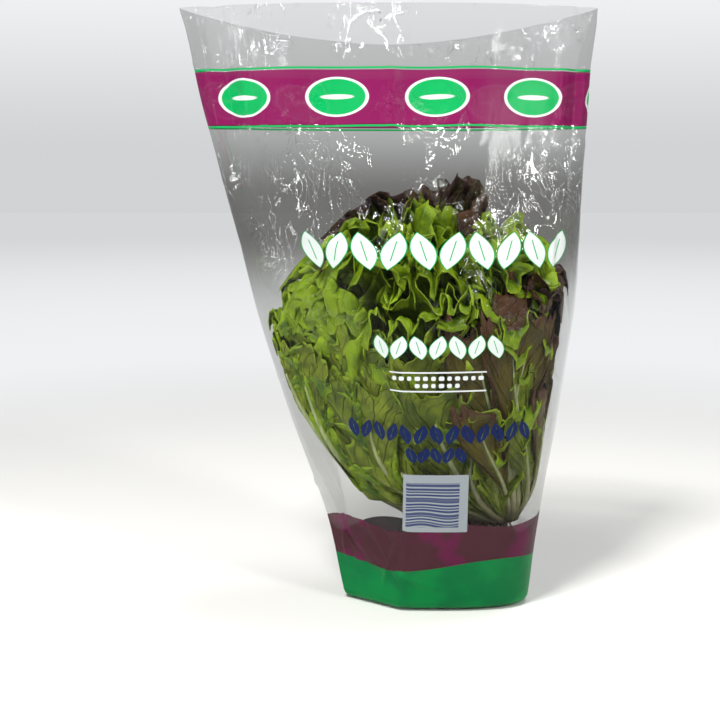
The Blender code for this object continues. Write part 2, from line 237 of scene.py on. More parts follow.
class Paint:
    """The nodes of a material, or of the world, under construction."""

    def __init__(self, name, world=False):
        self.owner = (bpy.data.worlds if world else bpy.data.materials).new(name)
        self.owner.use_nodes = True
        self.tree = self.owner.node_tree
        self.tree.nodes.clear()

    def node(self, kind, settings=None, inputs=None, output=0):
        """A node with its settings made first, then the values or links of its sockets."""
        made = self.tree.nodes.new(kind)
        for key, value in (settings or {}).items():
            setattr(made, key, value)
        for key, value in (inputs or {}).items():
            if isinstance(value, Signal):
                self.tree.links.new(value.socket, made.inputs[key])
            else:
                made.inputs[key].default_value = value
        return Signal(self, made.outputs[output])

    def place(self):
        return self.node("ShaderNodeTexCoord", output="Object")

    def depth(self):
        """How far back a place lies."""
        return self.node("ShaderNodeSeparateXYZ", inputs={0: self.place()}, output=1)

    def height(self, where):
        return self.node("ShaderNodeSeparateXYZ", inputs={0: where}, output=2)

    def uv(self, name):
        """The two coordinates of a UV map."""
        pair = self.node("ShaderNodeUVMap", {"uv_map": name})
        split = self.node("ShaderNodeSeparateXYZ", inputs={0: pair})
        return split, Signal(self, split.socket.node.outputs[1])

    def number(self, name):
        return self.node("ShaderNodeAttribute", {"attribute_name": name}, output="Fac")

    def noise(self, where, scale, detail=3.0, roughness=0.5, distortion=0.0):
        inputs = {"Vector": where, "Scale": scale, "Detail": detail, "Roughness": roughness}
        return self.node("ShaderNodeTexNoise", inputs={**inputs, "Distortion": distortion})

    def cells(self, where, scale, feature="DISTANCE_TO_EDGE"):
        return self.node("ShaderNodeTexVoronoi", {"feature": feature}, {"Vector": where, "Scale": scale})

    def stretched(self, where, x, y, z):
        """Coordinates that draw a pattern out where they are scaled under 1."""
        return self.node("ShaderNodeMapping", inputs={0: where, 3: (x, y, z)})

    def mix(self, factor, a, b):
        """Colour a where the factor is 0 and b where it is 1."""
        a = a if isinstance(a, Signal) else (*a, 1)
        b = b if isinstance(b, Signal) else (*b, 1)
        return self.node("ShaderNodeMix", {"data_type": "RGBA"}, {0: factor, 6: a, 7: b}, output=2)

    def bump(self, height, distance, strength=1.0):
        inputs = {"Height": height, "Distance": distance, "Strength": strength}
        return self.node("ShaderNodeBump", inputs=inputs)

    def principled(self, **inputs):
        named = {name.replace("_", " "): value for name, value in inputs.items()}
        return self.node("ShaderNodeBsdfPrincipled", inputs=named)

    def blend(self, factor, a, b):
        return self.node("ShaderNodeMixShader", inputs={0: factor, 1: a, 2: b})

    def finish(self, shader, output="ShaderNodeOutputMaterial"):
        out = self.tree.nodes.new(output)
        self.tree.links.new(shader.socket, out.inputs["Surface"])
        return self.owner


# ---- pieces


def smooth_mesh(name, bm):
    """The finished mesh of a bmesh, shaded smooth."""
    mesh = bpy.data.meshes.new(name)
    bm.to_mesh(mesh)
    bm.free()
    mesh.shade_smooth()
    return mesh


def add_grid(bm, layer, uv_places):
    """Adds a flat grid with these UVs and finds the row and column of each vertex."""
    rows, columns = uv_places.shape[0] - 1, uv_places.shape[1] - 1
    bmesh.ops.create_grid(bm, x_segments=columns, y_segments=rows, size=1)
    spots = {v: (round((v.co.y + 1) / 2 * rows), round((v.co.x + 1) / 2 * columns)) for v in bm.verts}
    for face in bm.faces:
        for loop in face.loops:
            loop[layer].uv = uv_places[spots[loop.vert]]
    return spots


def add_piece(name, mesh, materials, replaced=()):
    """A finished piece that rides on the part."""
    piece = bpy.data.objects.new(name, mesh)
    bpy.context.scene.collection.objects.link(piece)
    for material in materials:
        mesh.materials.append(material)
    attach(piece, BODY)
    if replaced:
        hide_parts(*replaced)
    return piece


# ---- the film

# Long creases, in millimetres: both ends round and up, half width, and height, minus if inward
FOLD_CREASES = (
    ((-104, 134), (-22, 44), 2.6, 1.6),
    ((-22, 44), (-34, 4), 2.4, 1.4),
    ((-76, 100), (-52, 26), 2.4, -1.1),
    ((-48, 62), (-12, 10), 2.4, 1.3),
    ((-62, 44), (-30, 14), 2.4, -1.3),
    ((-40, 30), (6, 14), 2.2, 1.0),
    ((-96, 300), (-88, 150), 2.6, 0.7),
    ((-104, 322), (-98, 215), 2.6, -0.9),
    ((72, 330), (66, 150), 2.6, 0.8),
    ((80, 318), (60, 90), 2.4, -0.6),
    ((-84, 74), (-34, 44), 2.0, 1.1),
    ((-70, 96), (-58, 30), 1.8, 1.0),
    ((-50, 40), (-18, 14), 2.0, 1.0),
)


def creases(rng):
    """Short sharp creases in the film: place round and up, direction, length, width and height."""
    for _ in range(CREASE_COUNT):
        up = rng.triangular(60, 330, 300) * MM
        anywhere = rng.uniform(-0.22, 0.2)
        left_fold, right_fold = rng.gauss(-0.11, 0.03), rng.gauss(0.085, 0.02)
        round_film = rng.choice((anywhere, left_fold, right_fold))
        length = rng.uniform(5, 24) * MM
        tall = rng.choice((-1, 1)) * rng.uniform(0.15, 0.4) * MM
        yield round_film, up, math.radians(rng.gauss(80, 35)), length, rng.uniform(1.7, 2.6) * MM, tall


def film_relief(round_film, height, rng):
    """How far the film stands out or in at each place, from folds, dents and creases."""
    free = ease(height, 0.19, 0.26)
    relief = np.zeros_like(round_film)
    for _ in range(16):
        lean, pace = rng.uniform(-0.7, 0.7), rng.uniform(50, 150)
        wave = np.sin(pace * (round_film + lean * height) + rng.uniform(0, FULL_TURN))
        swell = np.sin(rng.uniform(8, 30) * height + rng.uniform(0, FULL_TURN))
        relief += (0.10 + 0.22 * free) * MM * wave * swell
    upright_fold = np.exp(-(((round_film + 0.024 + 0.02 * (height - 0.27)) / 0.004) ** 2))
    relief += 1.3 * MM * upright_fold * ease(height, 0.19, 0.24) * (1 - ease(height, 0.30, 0.34))
    for (u0, v0), (u1, v1), width, tall in FOLD_CREASES:
        run = np.array((u1 - u0, v1 - v0)) * MM
        span = np.linalg.norm(run)
        ahead = ((round_film - u0 * MM) * run[0] + (height - v0 * MM) * run[1]) / span
        aside = ((height - v0 * MM) * run[0] - (round_film - u0 * MM) * run[1]) / span
        fade = ease(ahead, -0.006, 0.006) * (1 - ease(ahead, span - 0.006, span + 0.006))
        relief += tall * MM * fade * np.maximum(0, 1 - np.abs(aside) / (width * MM))
    for middle, up, angle, length, width, tall in creases(rng):
        ahead = (round_film - middle) * math.cos(angle) + (height - up) * math.sin(angle)
        aside = (height - up) * math.cos(angle) - (round_film - middle) * math.sin(angle)
        aside += 0.0012 * np.sin(180 * ahead)
        fade = np.clip(1 - (ahead / length) ** 2, 0, 1)
        relief += tall * fade * np.maximum(0, 1 - np.abs(aside) / width)
    return relief * ease(height, 0.0, 0.03) * (1 - 0.6 * ease(height, 0.33, 0.34))


def round_from_print(points):
    """How far round the film each place lies from the middle of the print."""
    run = running_sum(np.linalg.norm(np.diff(points, axis=1), axis=2))
    front = slice(FILM_COLUMNS // 4, 3 * FILM_COLUMNS // 4 + 1)
    middle = [np.interp(PRINT_MIDDLE, x[front], r[front]) for x, r in zip(points[..., 0], run)]
    return run - np.array(middle)[:, None]


def film_mesh():
    """The film bag as one sheet, with a UV map in metres: round from the print's middle, and up."""
    walls = FILM_ROWS - BASE_ROWS + 1
    turn = np.linspace(0.5 * math.pi, 2.5 * math.pi, FILM_COLUMNS + 1)[None, :]
    up = np.concatenate([np.zeros(BASE_ROWS), np.linspace(0, 1, walls) ** 0.97])[:, None]
    height = up * rim_height(turn)
    points = sleeve_points(turn + 0 * up, height)
    inset = np.concatenate([np.linspace(0, 1, BASE_ROWS), np.ones(walls)])[:, None]
    points[..., 0] *= inset
    points[..., 1] *= inset
    round_film = round_from_print(points)
    normal = np.cross(np.gradient(points, axis=1), np.gradient(points, axis=0))
    normal /= np.maximum(np.linalg.norm(normal, axis=2, keepdims=True), 1e-12)
    relief = film_relief(round_film, height, random.Random(5))
    relief[:, -1] = relief[:, 0]
    points += normal * (relief * inset)[..., None]
    points[..., 2] = np.maximum(points[..., 2], 0)
    bm = bmesh.new()
    layer = bm.loops.layers.uv.new("print")
    for vertex, spot in add_grid(bm, layer, np.stack([round_film, height], axis=-1)).items():
        vertex.co = points[spot]
    bmesh.ops.remove_doubles(bm, verts=bm.verts[:], dist=0.01 * MM)
    return smooth_mesh("film_bag", bm)


# ---- printing

PURPLE = (0.175, 0.006, 0.070)
DEEP_PURPLE = (0.055, 0.016, 0.024)
BRIGHT_GREEN = (0.0, 0.32, 0.08)
FOOT_GREEN = (0.0, 0.185, 0.042)
WHITE = (0.60, 0.64, 0.63)
NAVY = (0.003, 0.012, 0.070)
CLOUD_PURPLE = (0.095, 0.010, 0.042)
CLOUD_GREEN = (0.0, 0.135, 0.036)
PANEL_GREY = (0.26, 0.29, 0.31)
STRIPE_BLUE = (0.012, 0.022, 0.10)


class Sheet:
    """Where the printing lies on the film: masks made from the distance round and up, in metres."""

    def __init__(self, paint):
        self.paint = paint
        self.across, self.up = paint.uv("print")
        self.soft = 0.15 * MM

    def rounded(self, x, y, half_width, half_height, radius):
        """Distance to a rounded box whose middle is the origin of x and y."""
        ex = (abs(x) - (half_width - radius)).most(0)
        ey = (abs(y) - (half_height - radius)).most(0)
        return (ex * ex + ey * ey).power(0.5) - radius

    def box(self, left, right, low, high, radius=0.2 * MM):
        x = self.across - (left + right) / 2
        y = self.up - (low + high) / 2
        return self.rounded(x, y, (right - left) / 2, (high - low) / 2, radius)

    def filled(self, distance, grow=0.0):
        return distance.below(grow, self.soft)

    def cells(self, width, pitch):
        """The number of the cell a place is in, and how far along it lies from the cell's middle."""
        along = (self.across + width / 2) / pitch
        cell = along.floor()
        return cell, (along - cell - 0.5) * pitch

    def row(self, width, low, high, count, gap, radius):
        """A row of rounded blocks of uneven widths."""
        pitch = width / count
        cell, x = self.cells(width, pitch)
        uneven = (cell * 2.4).sine() * 0.13
        y = self.up - (low + high) / 2
        block = self.rounded(x, y, (uneven + 1.0) * ((pitch - gap) / 2), (high - low) / 2, radius)
        return block.most(abs(self.across) - width / 2)

    def garland(self, width, level, count, half_width, half_height):
        """A row of leaf shapes that lean left and right by turns, each with a slot in its middle."""
        cell, x = self.cells(width, width / count)
        lean = ((cell / 2).fraction() * 4 - 1) * 0.34
        y = self.up - level
        aside = x - lean * y
        bow = 1 - (y / half_height) * (y / half_height)
        leaf = (abs(aside) - bow * half_width).most(abs(y) - half_height)
        slot = (half_width * 0.055 - abs(aside)).least(half_height * 0.55 - abs(y))
        return leaf.most(slot).most(abs(self.across) - width / 2)

    def ovals(self, pitch, half_width, half_height, level):
        """Ovals all round, as a distance that is 0 on their edge."""
        x = ((self.across / pitch + 0.5).fraction() - 0.5) * (pitch / half_width)
        y = (self.up - level) / half_height
        beyond = abs(self.across + 0.4 * pitch) - 4 * pitch  # none across the back seam
        return (((x * x + y * y).power(0.5) - 1) * half_height).most(beyond)


def band_print(sheet):
    """The band under the rim, with its green edges and ovals, from the bottom layer up."""
    low, high = 277 * MM, 306 * MM
    middle = (low + high) / 2
    band = abs(sheet.up - middle) - (high - low) / 2
    edges = band.below(1.6 * MM, sheet.soft) - band.below(0.5 * MM, sheet.soft)
    oval = sheet.ovals(54 * MM, 15.5 * MM, 9.5 * MM, middle)
    slot = sheet.ovals(54 * MM, 9 * MM, 1.3 * MM, middle)
    return [
        (edges, BRIGHT_GREEN),
        (sheet.filled(band), PURPLE),
        (sheet.filled(oval, 1.1 * MM), WHITE),
        (sheet.filled(oval), BRIGHT_GREEN),
        (sheet.filled(slot), WHITE),
    ]


def front_print(sheet):
    """The rows of leaf shapes, rules and blocks on the front."""
    title = sheet.garland(158 * MM, 210 * MM, 10, 6.4 * MM, 9.6 * MM)
    second = sheet.garland(74 * MM, 159 * MM, 7, 4.3 * MM, 6.2 * MM)
    layers = [
        (sheet.filled(title, 0.7 * MM), BRIGHT_GREEN),
        (sheet.filled(title), WHITE),
        (sheet.filled(second, 0.5 * MM), BRIGHT_GREEN),
        (sheet.filled(second), WHITE),
    ]
    for low in (134.6 * MM, 145.0 * MM):
        layers.append((sheet.filled(sheet.box(-27 * MM, 27 * MM, low, low + 0.9 * MM)), WHITE))
    for low, width, count in ((141 * MM, 52 * MM, 12), (137 * MM, 26 * MM, 6)):
        blocks = sheet.row(width, low, low + 2.4 * MM, count, 1.6 * MM, 0.8 * MM)
        layers.append((sheet.filled(blocks), WHITE))
    layers.append((sheet.filled(sheet.garland(112 * MM, 110.5 * MM, 13, 3.5 * MM, 5.6 * MM)), NAVY))
    layers.append((sheet.filled(sheet.garland(34 * MM, 98.5 * MM, 5, 3.1 * MM, 4.6 * MM)), NAVY))
    return layers


def panel_print(sheet):
    """The pale panel and its wavy stripes."""
    panel = sheet.box(-18.5 * MM, 18.5 * MM, 52 * MM, 87 * MM, 0.6 * MM)
    layers = [(sheet.filled(panel), PANEL_GREY)]
    field = sheet.filled(sheet.box(-16.5 * MM, 13.5 * MM, 55 * MM, 82 * MM, 0.3 * MM))
    ripple = sheet.up + (sheet.across * 210).sine() * sheet.up.ramp(52 * MM, 82 * MM, 1.1 * MM, 0.0)
    for pitch, share in ((1.9 * MM, 0.50), (3.1 * MM, 0.26)):
        lines = (ripple / pitch).fraction().below(share, 0.06)
        layers.append((field * lines * 0.85, STRIPE_BLUE))
    return layers


def foot_print(sheet):
    """Colour and mask of the purple and green waves round the foot, which lie lower on the back."""
    paint, across, up = sheet.paint, sheet.across, sheet.up
    behind = paint.depth().ramp(-10 * MM, 25 * MM)
    swell = (across * 95 + 0.6).sine() * 2.0 * MM + (across * 41).sine() * 1.5 * MM
    purple_top = swell + 54 * MM - behind * 18 * MM
    green_top = (across * 46 - 0.3).sine() * 4.0 * MM + 29.5 * MM - behind * 9 * MM
    cloud = paint.noise(paint.place(), 38, 2)
    purple = paint.mix(cloud.ramp(0.52, 0.62), DEEP_PURPLE, CLOUD_PURPLE)
    green = paint.mix(cloud.ramp(0.4, 0.65), FOOT_GREEN, CLOUD_GREEN)
    return paint.mix(sheet.filled(up - green_top), purple, green), sheet.filled(up - purple_top)


def printing(paint):
    """The print's colour and where it covers the film."""
    sheet = Sheet(paint)
    colour, foot = foot_print(sheet)
    cover = foot * 0.92
    for mask, ink in band_print(sheet) + front_print(sheet) + panel_print(sheet):
        colour = paint.mix(mask, colour, ink)
        cover = cover.most(mask * 0.96)
    return colour, cover


def film_walls(paint, height, settings):
    """What the film lets through: the front wall, its mouth, the back wall, and a darker band of the back
    wall that is painted shade behind the top of the salad.
    """
    front, mouth, back, shade = (
        paint.node("ShaderNodeBsdfTransparent", inputs={0: (*tint, 1)})
        for tint in (settings.film_tint, settings.mouth_tint, settings.back_tint, settings.shade_tint)
    )
    tinted = height.ramp(0.235, 0.262).most(height.ramp(0.075, 0.130, 1, 0))
    # painted shade: a band of the back wall lets less through, standing in for the shadow behind the top of
    # the salad
    painted_shade_band = height.ramp(0.165, 0.215) * height.ramp(0.235, 0.280, 1, 0)
    behind = paint.depth().ramp(-4 * MM, 4 * MM)
    return paint.blend(behind, paint.blend(tinted, front, mouth), paint.blend(painted_shade_band, back, shade))


def film_material(settings):
    """Clear film: see-through with a gloss that grows at a slant, glints on its creases, and print."""
    paint = Paint("clear_film")
    where = paint.place()
    height = paint.height(where)
    drawn_up = paint.stretched(where, 1.0, 1.0, 0.55)
    crinkle = paint.noise(drawn_up, 75, 4, 0.6, 1.6)
    patch = paint.noise(where, 24, 2).ramp(0.47, 0.60) * height.ramp(0.15, 0.25)
    glint = abs(crinkle - 0.5).below(0.010, 0.010) * patch
    inputs = {0: 0.02, 4: drawn_up, 5: crinkle}
    bent = paint.node("ShaderNodeMix", {"data_type": "VECTOR"}, inputs, output=1)
    shards = paint.cells(bent, 95).least(0.25)
    relief = paint.noise(drawn_up, 60, 2, 0.5, 0.6) * 0.8 + shards * 3.0 * patch + glint * -0.4
    normal = paint.bump(relief, 1.0 * MM, 0.42)
    gloss = paint.node("ShaderNodeBsdfGlossy", inputs={0: (0.95, 0.96, 0.96, 1), 1: 0.09, "Normal": normal})
    slant = paint.node("ShaderNodeFresnel", inputs={"IOR": 1.5, "Normal": normal})
    share = (slant * 0.22 + settings.film_haze + glint * 0.75).least(0.92)
    film = paint.blend(share, film_walls(paint, height, settings), gloss)
    colour, cover = printing(paint)
    ink = paint.principled(Base_Color=colour, Roughness=0.38, Specular_IOR_Level=0.09, Normal=normal)
    return paint.finish(paint.blend(cover, film, ink))


# ---- leaves


def heap_top(x, y):
    """How high the salad reaches at a place."""
    sideways, deep = x - HEAP_PEAK[0], y - HEAP_PEAK[1]
    fall = np.where(sideways < 0, HEAP_FALL[0], HEAP_FALL[1])
    return HEAP_PEAK[2] - fall * sideways**2 - HEAP_FALL[2] * deep**2


def eased_under(value, limit, room):
    """The value, bent so that it never passes the limit; the bend starts a room below it."""
    start = limit - room
    return np.where(value > start, limit - room * np.exp(-np.maximum(value - start, 0) / room), value)


def kept_inside(points, share):
    """Points eased back inside the film, to this share of its section, and under the heap's top."""
    x, y, z = points.T
    z = eased_under(z, heap_top(x, y) + 3 * MM, 4 * MM)
    z = np.maximum(z, PLUG_TOP + 0.3 * MM)
    left, right, front, back, squareness = station(z)
    middle, half_width = (right - left) / 2, (left + right) / 2 - FILM_GAP
    reach = np.where(y > 0, back, front) - FILM_GAP
    ratio = np.abs((x - middle) / half_width) ** squareness + np.abs(y / reach) ** squareness
    ratio = np.maximum(ratio ** (1 / squareness), 1e-6)
    shrink = eased_under(ratio, share, 0.05) / ratio
    x = middle + (x - middle) * shrink
    y = y * shrink
    y = np.maximum(y, fold_depth(x, z) + (1 - share) * reach + 1.6 * FILM_GAP)
    crease = CREASE_TOP[0] + np.maximum(0, CREASE_TOP[1] - z) * CREASE_SLOPE
    x = -eased_under(-x, 1.5 * MM - crease, 6 * MM)
    return np.stack([x, y, z], axis=-1)


def bezier(points, t):
    """Places on a cubic curve through its four control points, and its unit directions."""
    a, b, c, d = (np.array(p, float) for p in points)
    t = t[..., None]
    place = a * (1 - t) ** 3 + 3 * b * t * (1 - t) ** 2 + 3 * c * t**2 * (1 - t) + d * t**3
    speed = 3 * (b - a) * (1 - t) ** 2 + 6 * (c - b) * t * (1 - t) + 3 * (d - c) * t**2
    return place, unit(speed)


def section_place(azimuth, share, height):
    """A place inside the sleeve, at a share of the way out to the film."""
    left, right, front, back, _ = (float(v) for v in station(np.array(height)))
    x = (right - left) / 2 + share * math.cos(azimuth) * (left + right) / 2
    y = math.sin(azimuth) * (back if math.sin(azimuth) > 0 else front)
    return np.array([x, share * y, height])


def leaf_outline(ray, ring, length, width, rng):
    """A flat leaf: across and along for each ring and ray of its grid.

    Rays fan from the midrib to the margin like side veins, and the rings between them follow the
    margin.
    """
    turn = np.abs(ray)
    fade = 1 - ease(turn, 0.8, 1.0)
    notch = 1 - np.abs(np.cos(ray * rng.uniform(10, 13) + rng.uniform(0, FULL_TURN / 2))) ** 0.7
    tooth = 1 - np.abs(np.cos(ray * rng.uniform(25, 31) + rng.uniform(0, FULL_TURN / 2))) ** 0.8
    lobes = 1 - (rng.uniform(0.16, 0.26) * notch + 0.10 * tooth) * fade
    lobes += 0.06 * np.sin(ray * rng.uniform(5, 8) + rng.uniform(0, FULL_TURN)) * fade
    rib = length * (0.03 + 0.66 * (1 - turn))
    margin_along = length * (1 - turn**2.2) ** 0.8
    fullness = np.sin(np.pi * turn**0.8).clip(0) ** np.where(turn < 0.42, 0.75, 1.25)
    margin_across = np.sign(ray) * (width / 2) * fullness + ray * 0.05 * width
    reach = ring * (1 + (lobes - 1) * ring**2)
    return margin_across * reach, rib + (margin_along - rib) * reach


def leaf_blade(leaf, rng):
    """A leaf before it is bent: across, along and off its plane for each ring and ray of its grid.

    The further out a ring lies, the more its spare length buckles into frills.
    """
    ray = np.linspace(-1, 1, LEAF_RAYS + 1)[None, :]
    ring = np.linspace(0, 1, LEAF_RINGS + 1)[:, None] ** 0.8
    turn = np.abs(ray)
    fade = 1 - ease(turn, 0.8, 1.0)
    across, along = leaf_outline(ray, ring, leaf.length, leaf.width, rng)
    step = np.hypot(np.diff(across, axis=1), np.diff(along, axis=1))
    run = running_sum(step)
    margin = run[-1:] / run[-1, -1]
    wobble = 1.3 * np.sin(2.3 * np.pi * ray + rng.uniform(0, FULL_TURN))
    waves = run[-1, -1] / (rng.uniform(27, 36) * MM)
    big = 2 * np.pi * waves * margin + wobble + rng.uniform(0, FULL_TURN)
    small = 2 * np.pi * waves * 2.6 * margin - 1.7 * wobble + rng.uniform(0, FULL_TURN)
    lean = leaf.frill * ease(ring, 0.15, 0.95) * np.sin(big)
    lean = (lean + 0.5 * leaf.frill * ease(ring, 0.6, 1.0) * np.sin(small)) * fade
    forward = running_sum(np.cos(lean)[:, 1:] * step)
    height = running_sum(np.sin(lean)[:, 1:] * step)
    stretch = run[:, -1:] / forward[:, -1:]
    height = (height - height[:, -1:] * (ray + 1) / 2) * stretch
    for row in range(LEAF_RINGS + 1):
        gone = forward[row] * stretch[row]
        across[row] = np.interp(gone, run[row], across[row])
        along[row] = np.interp(gone, run[row], along[row])
    quilt = np.sin(ray * 30 + rng.uniform(0, FULL_TURN / 2))
    quilt = np.abs(quilt * np.sin(ring * 13 + 5 * turn + rng.uniform(0, FULL_TURN / 2)))
    pucker = np.sin(ray * 47 - 9 * ring + rng.uniform(0, FULL_TURN)) * np.sin(ring * 19 + 8 * ray)
    blister = (2.4 * np.sqrt(quilt) + 0.8 * pucker) * MM * ring**0.7 * fade
    return across, along, height * ring**0.7 * 0.9 + blister - leaf.roll * ring**4 * fade


def place_leaf(blade, leaf):
    """Bends a blade along its leaf's midrib curve and round the bunch."""
    across, along, off = (part.ravel() for part in blade)
    place, direction = bezier(leaf.rib, np.clip(along / leaf.length, 0, 1.1))
    side = unit(np.cross([0, 0, 1.0], leaf.outward))
    inward = unit(np.cross(direction, side))
    bend = across / LEAF_WRAP
    sideways = (np.sin(bend) * LEAF_WRAP)[:, None] * side
    rounding = ((1 - np.cos(bend)) * LEAF_WRAP * 0.8)[:, None] * inward
    turned = inward * np.cos(bend)[:, None] - side * np.sin(bend)[:, None]
    return place + sideways + rounding + off[:, None] * turned


@dataclass
class Whorl:
    """Leaves set round the bunch: angles in degrees, lengths in millimetres."""

    count: int
    first: float  # azimuth of the first; 0 is the right and -90 the front
    step: float
    belly_share: float  # of the way to the film
    tip_share: float
    belly: float  # heights
    tip: float
    spread: float  # of the tips' heights
    width: float
    lift: float  # of the tip: 90 stands up and 0 lies flat
    frill: float  # steepest lean of the margin's waves, in radians
    roll: float  # how far the margin curls over
    from_right: bool = False


WHORLS = {
    "outer_leaves": (
        Whorl(8, 8, 45, 1.04, 1.01, 84, 146, 14, 54, 80, 1.0, -3),
        Whorl(8, 28, 45, 0.98, 0.96, 90, 164, 10, 54, 62, 1.15, 4),
        Whorl(7, 186, 24, 1.04, 1.02, 76, 124, 16, 46, 55, 1.15, 5, True),
        Whorl(4, 160, 13, 1.03, 1.04, 96, 168, 14, 52, 45, 1.1, 3),
    ),
    "front_leaves": (
        Whorl(6, 202, 25, 1.01, 1.00, 70, 102, 8, 40, 32, 1.2, 6, True),
        Whorl(9, 188, 19, 0.97, 1.00, 92, 136, 22, 42, 10, 1.3, 7),
        Whorl(9, 208, 15, 0.93, 0.97, 104, 174, 16, 48, 0, 1.3, 7),
    ),
    "frilled_leaves": (
        Whorl(12, 5, 30, 0.98, 0.97, 104, 186, 9, 56, 8, 1.3, 6),
        Whorl(12, 20, 30, 0.90, 0.93, 110, 203, 8, 56, -5, 1.35, 6),
    ),
    "inner_leaves": (
        Whorl(9, 10, 40, 0.70, 0.76, 118, 216, 8, 56, 0, 1.35, 6),
        Whorl(8, 30, 45, 0.48, 0.55, 122, 222, 7, 54, 15, 1.35, 6),
        Whorl(5, 0, 72, 0.20, 0.26, 126, 226, 4, 50, 45, 1.3, 5),
    ),
    "red_leaves": (
        Whorl(7, -64, 18, 1.04, 1.05, 98, 184, 14, 46, 66, 1.15, 2, True),
        Whorl(4, -58, 26, 1.05, 1.04, 84, 138, 10, 40, 60, 1.3, 3, True),
        Whorl(4, -42, 24, 0.94, 0.97, 104, 205, 8, 52, 25, 1.3, 5, True),
        Whorl(11, 30, 13, 0.42, 0.46, 126, 252, 7, 44, 78, 1.45, 1),
    ),
}


@dataclass
class Leaf:
    """One leaf: its midrib curve and what its blade is made from."""

    rib: tuple
    outward: np.ndarray
    length: float
    width: float
    frill: float
    roll: float
    layer: float  # furthest share of the way to the film


def whorl_leaves(whorls, rng):
    """The leaves of these whorls, whose midribs run from the plug out to a belly and up to a tip."""
    for whorl in whorls:
        for k in range(whorl.count):
            azimuth = math.radians(whorl.first + whorl.step * k + rng.uniform(-9, 9))
            outward = np.array([math.cos(azimuth), math.sin(azimuth), 0.0])
            aside = azimuth + math.radians(rng.uniform(-20, 20))
            tip_height = (whorl.tip + rng.uniform(-1, 1) * whorl.spread) * MM
            tip = section_place(aside, whorl.tip_share, tip_height)
            tip[2] = min(tip[2], float(heap_top(tip[0], tip[1])) + 4 * MM)
            if whorl.from_right:
                root = np.array(RIGHT_ROOT) + outward * (10 * MM, 6 * MM, 0)
            else:
                root = np.array([*PLUG_CENTRE, PLUG_TOP + 2 * MM]) + outward * (27 * MM, 13 * MM, 0)
            lift = math.radians(whorl.lift + rng.uniform(-10, 10))
            pull = (outward * math.cos(lift) + (0, 0, math.sin(lift))) * 0.4 * (tip[2] - root[2])
            belly = section_place(azimuth, whorl.belly_share, whorl.belly * MM)
            rib = (root, root + (belly - root) * 1.15, tip - pull, tip)
            length = 1.05 * float(np.linalg.norm(tip - root))
            width = whorl.width * MM * rng.uniform(0.86, 1.14)
            layer = 0.985 - 0.08 * (k % 2) - rng.uniform(0, 0.05)
            yield Leaf(rib, outward, length, width, whorl.frill, whorl.roll * MM, layer)


def leaf_template():
    """A flat leaf grid whose midrib is closed, the grid place of each vertex, and its UV map."""
    bm = bmesh.new()
    layer = bm.loops.layers.uv.new("leaf")
    places = bm.verts.layers.int.new("place")
    shares = np.arange(LEAF_RAYS + 1) / LEAF_RAYS, np.arange(LEAF_RINGS + 1) / LEAF_RINGS
    spots = add_grid(bm, layer, np.stack(np.meshgrid(*shares), axis=-1))
    rib = {column: v for v, (row, column) in spots.items() if row == 0}
    merged = {rib[column]: rib[LEAF_RAYS - column] for column in range(LEAF_RAYS // 2)}
    for vertex, (row, column) in spots.items():
        vertex[places] = row * (LEAF_RAYS + 1) + column
    bmesh.ops.weld_verts(bm, targetmap=merged)
    order = np.array([v[places] for v in bm.verts])
    mesh = bpy.data.meshes.new("leaf_template")
    bm.to_mesh(mesh)
    bm.free()
    return mesh, order


def leaves_mesh(name, leaves, seed):
    """These leaves as one mesh, with a tone for each leaf."""
    template, order = leaf_template()
    rng = random.Random(seed)
    bm = bmesh.new()
    tone_layer = bm.verts.layers.float.new("tone")
    bm.loops.layers.uv.new("leaf")
    for leaf in leaves:
        points = kept_inside(place_leaf(leaf_blade(leaf, rng), leaf), leaf.layer)
        template.vertices.foreach_set("co", points[order].ravel())
        before = len(bm.verts)
        bm.from_mesh(template)
        bm.verts.ensure_lookup_table()
        tone = rng.random()
        for vertex in bm.verts[before:]:
            vertex[tone_layer] = tone
    bpy.data.meshes.remove(template)
    return smooth_mesh(name, bm)


